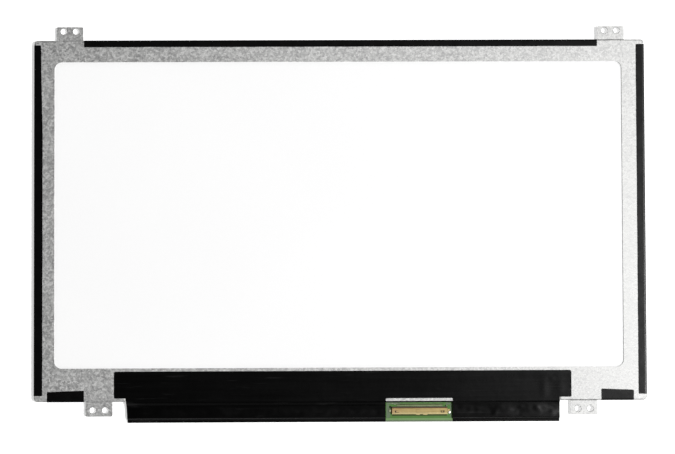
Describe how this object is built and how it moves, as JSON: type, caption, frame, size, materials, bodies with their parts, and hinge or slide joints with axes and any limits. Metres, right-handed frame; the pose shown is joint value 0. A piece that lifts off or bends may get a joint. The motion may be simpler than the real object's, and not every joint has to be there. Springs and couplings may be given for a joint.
{
  "type": "laptop screen panel",
  "caption": "Slim LED-lit laptop screen panel: steel back frame with screw tabs, edge tapes, layered glass and light sheets, and a film-covered driver board with a display socket.",
  "frame": {"origin": "centre of the picture area on the front polariser's face, which the panel lies on", "axes": "+X to the right and +Y up, seen from behind with the driver board at the bottom; +Z out of the back"},
  "size_m": [0.2682, 0.1737, 0.0035],
  "materials": {
    "zinc_steel": "spangled zinc coat, satin",
    "white_moulding": "moulded white plastic",
    "reflector_film": "white reflector film, satin",
    "clear_acrylic": "clear acrylic",
    "optical_film": "frosted film",
    "flex_circuit": "amber flexible circuit",
    "black_tape": "black polyester tape",
    "polariser_film": "dark hard-coated film",
    "cell_glass": "thin clear glass",
    "bare_silicon": "bare silicon",
    "green_board": "green solder mask",
    "socket_plastic": "moulded tan plastic",
    "gold_plate": "gold flash plating",
    "chip_epoxy": "black moulding compound",
    "ferrite": "dark grey ferrite",
    "component_ceramic": "tan ceramic",
    "black_film": "black polyester film, satin"
  },
  "bodies": {
    "root": {"back_frame": "zinc_steel", "moulded_frame": "white_moulding", "led_flex_socket": "white_moulding", "led_packages": "white_moulding", "reflector_sheet": "reflector_film", "light_guide_plate": "clear_acrylic", "lower_diffuser_sheet": "optical_film", "lower_prism_sheet": "optical_film", "upper_prism_sheet": "optical_film", "upper_diffuser_sheet": "optical_film", "led_flex_strip": "flex_circuit", "source_driver_film_left": "flex_circuit", "source_driver_film_middle": "flex_circuit", "source_driver_film_right": "flex_circuit", "rim_tape": "black_tape", "left_side_tape": "black_tape", "right_side_tape": "black_tape", "top_edge_tape": "black_tape", "bottom_left_tape": "black_tape", "bottom_right_tape": "black_tape", "front_polariser": "polariser_film", "rear_polariser": "polariser_film", "tft_glass": "cell_glass", "colour_filter_glass": "cell_glass", "source_driver_chip_left": "bare_silicon", "source_driver_chip_middle": "bare_silicon", "source_driver_chip_right": "bare_silicon", "driver_board": "green_board", "connector_housing": "socket_plastic", "connector_shell": "gold_plate", "connector_contacts": "gold_plate", "timing_controller_chip": "chip_epoxy", "memory_chip": "chip_epoxy", "gamma_chip": "chip_epoxy", "power_chip": "chip_epoxy", "led_driver_chip": "chip_epoxy", "led_socket_latch": "chip_epoxy", "panel_boost_inductor": "ferrite", "led_boost_inductor": "ferrite", "input_fuse": "component_ceramic", "board_capacitors": "component_ceramic", "board_resistors": "component_ceramic", "board_cover_film": "black_film"}
  },
  "joints": []
}
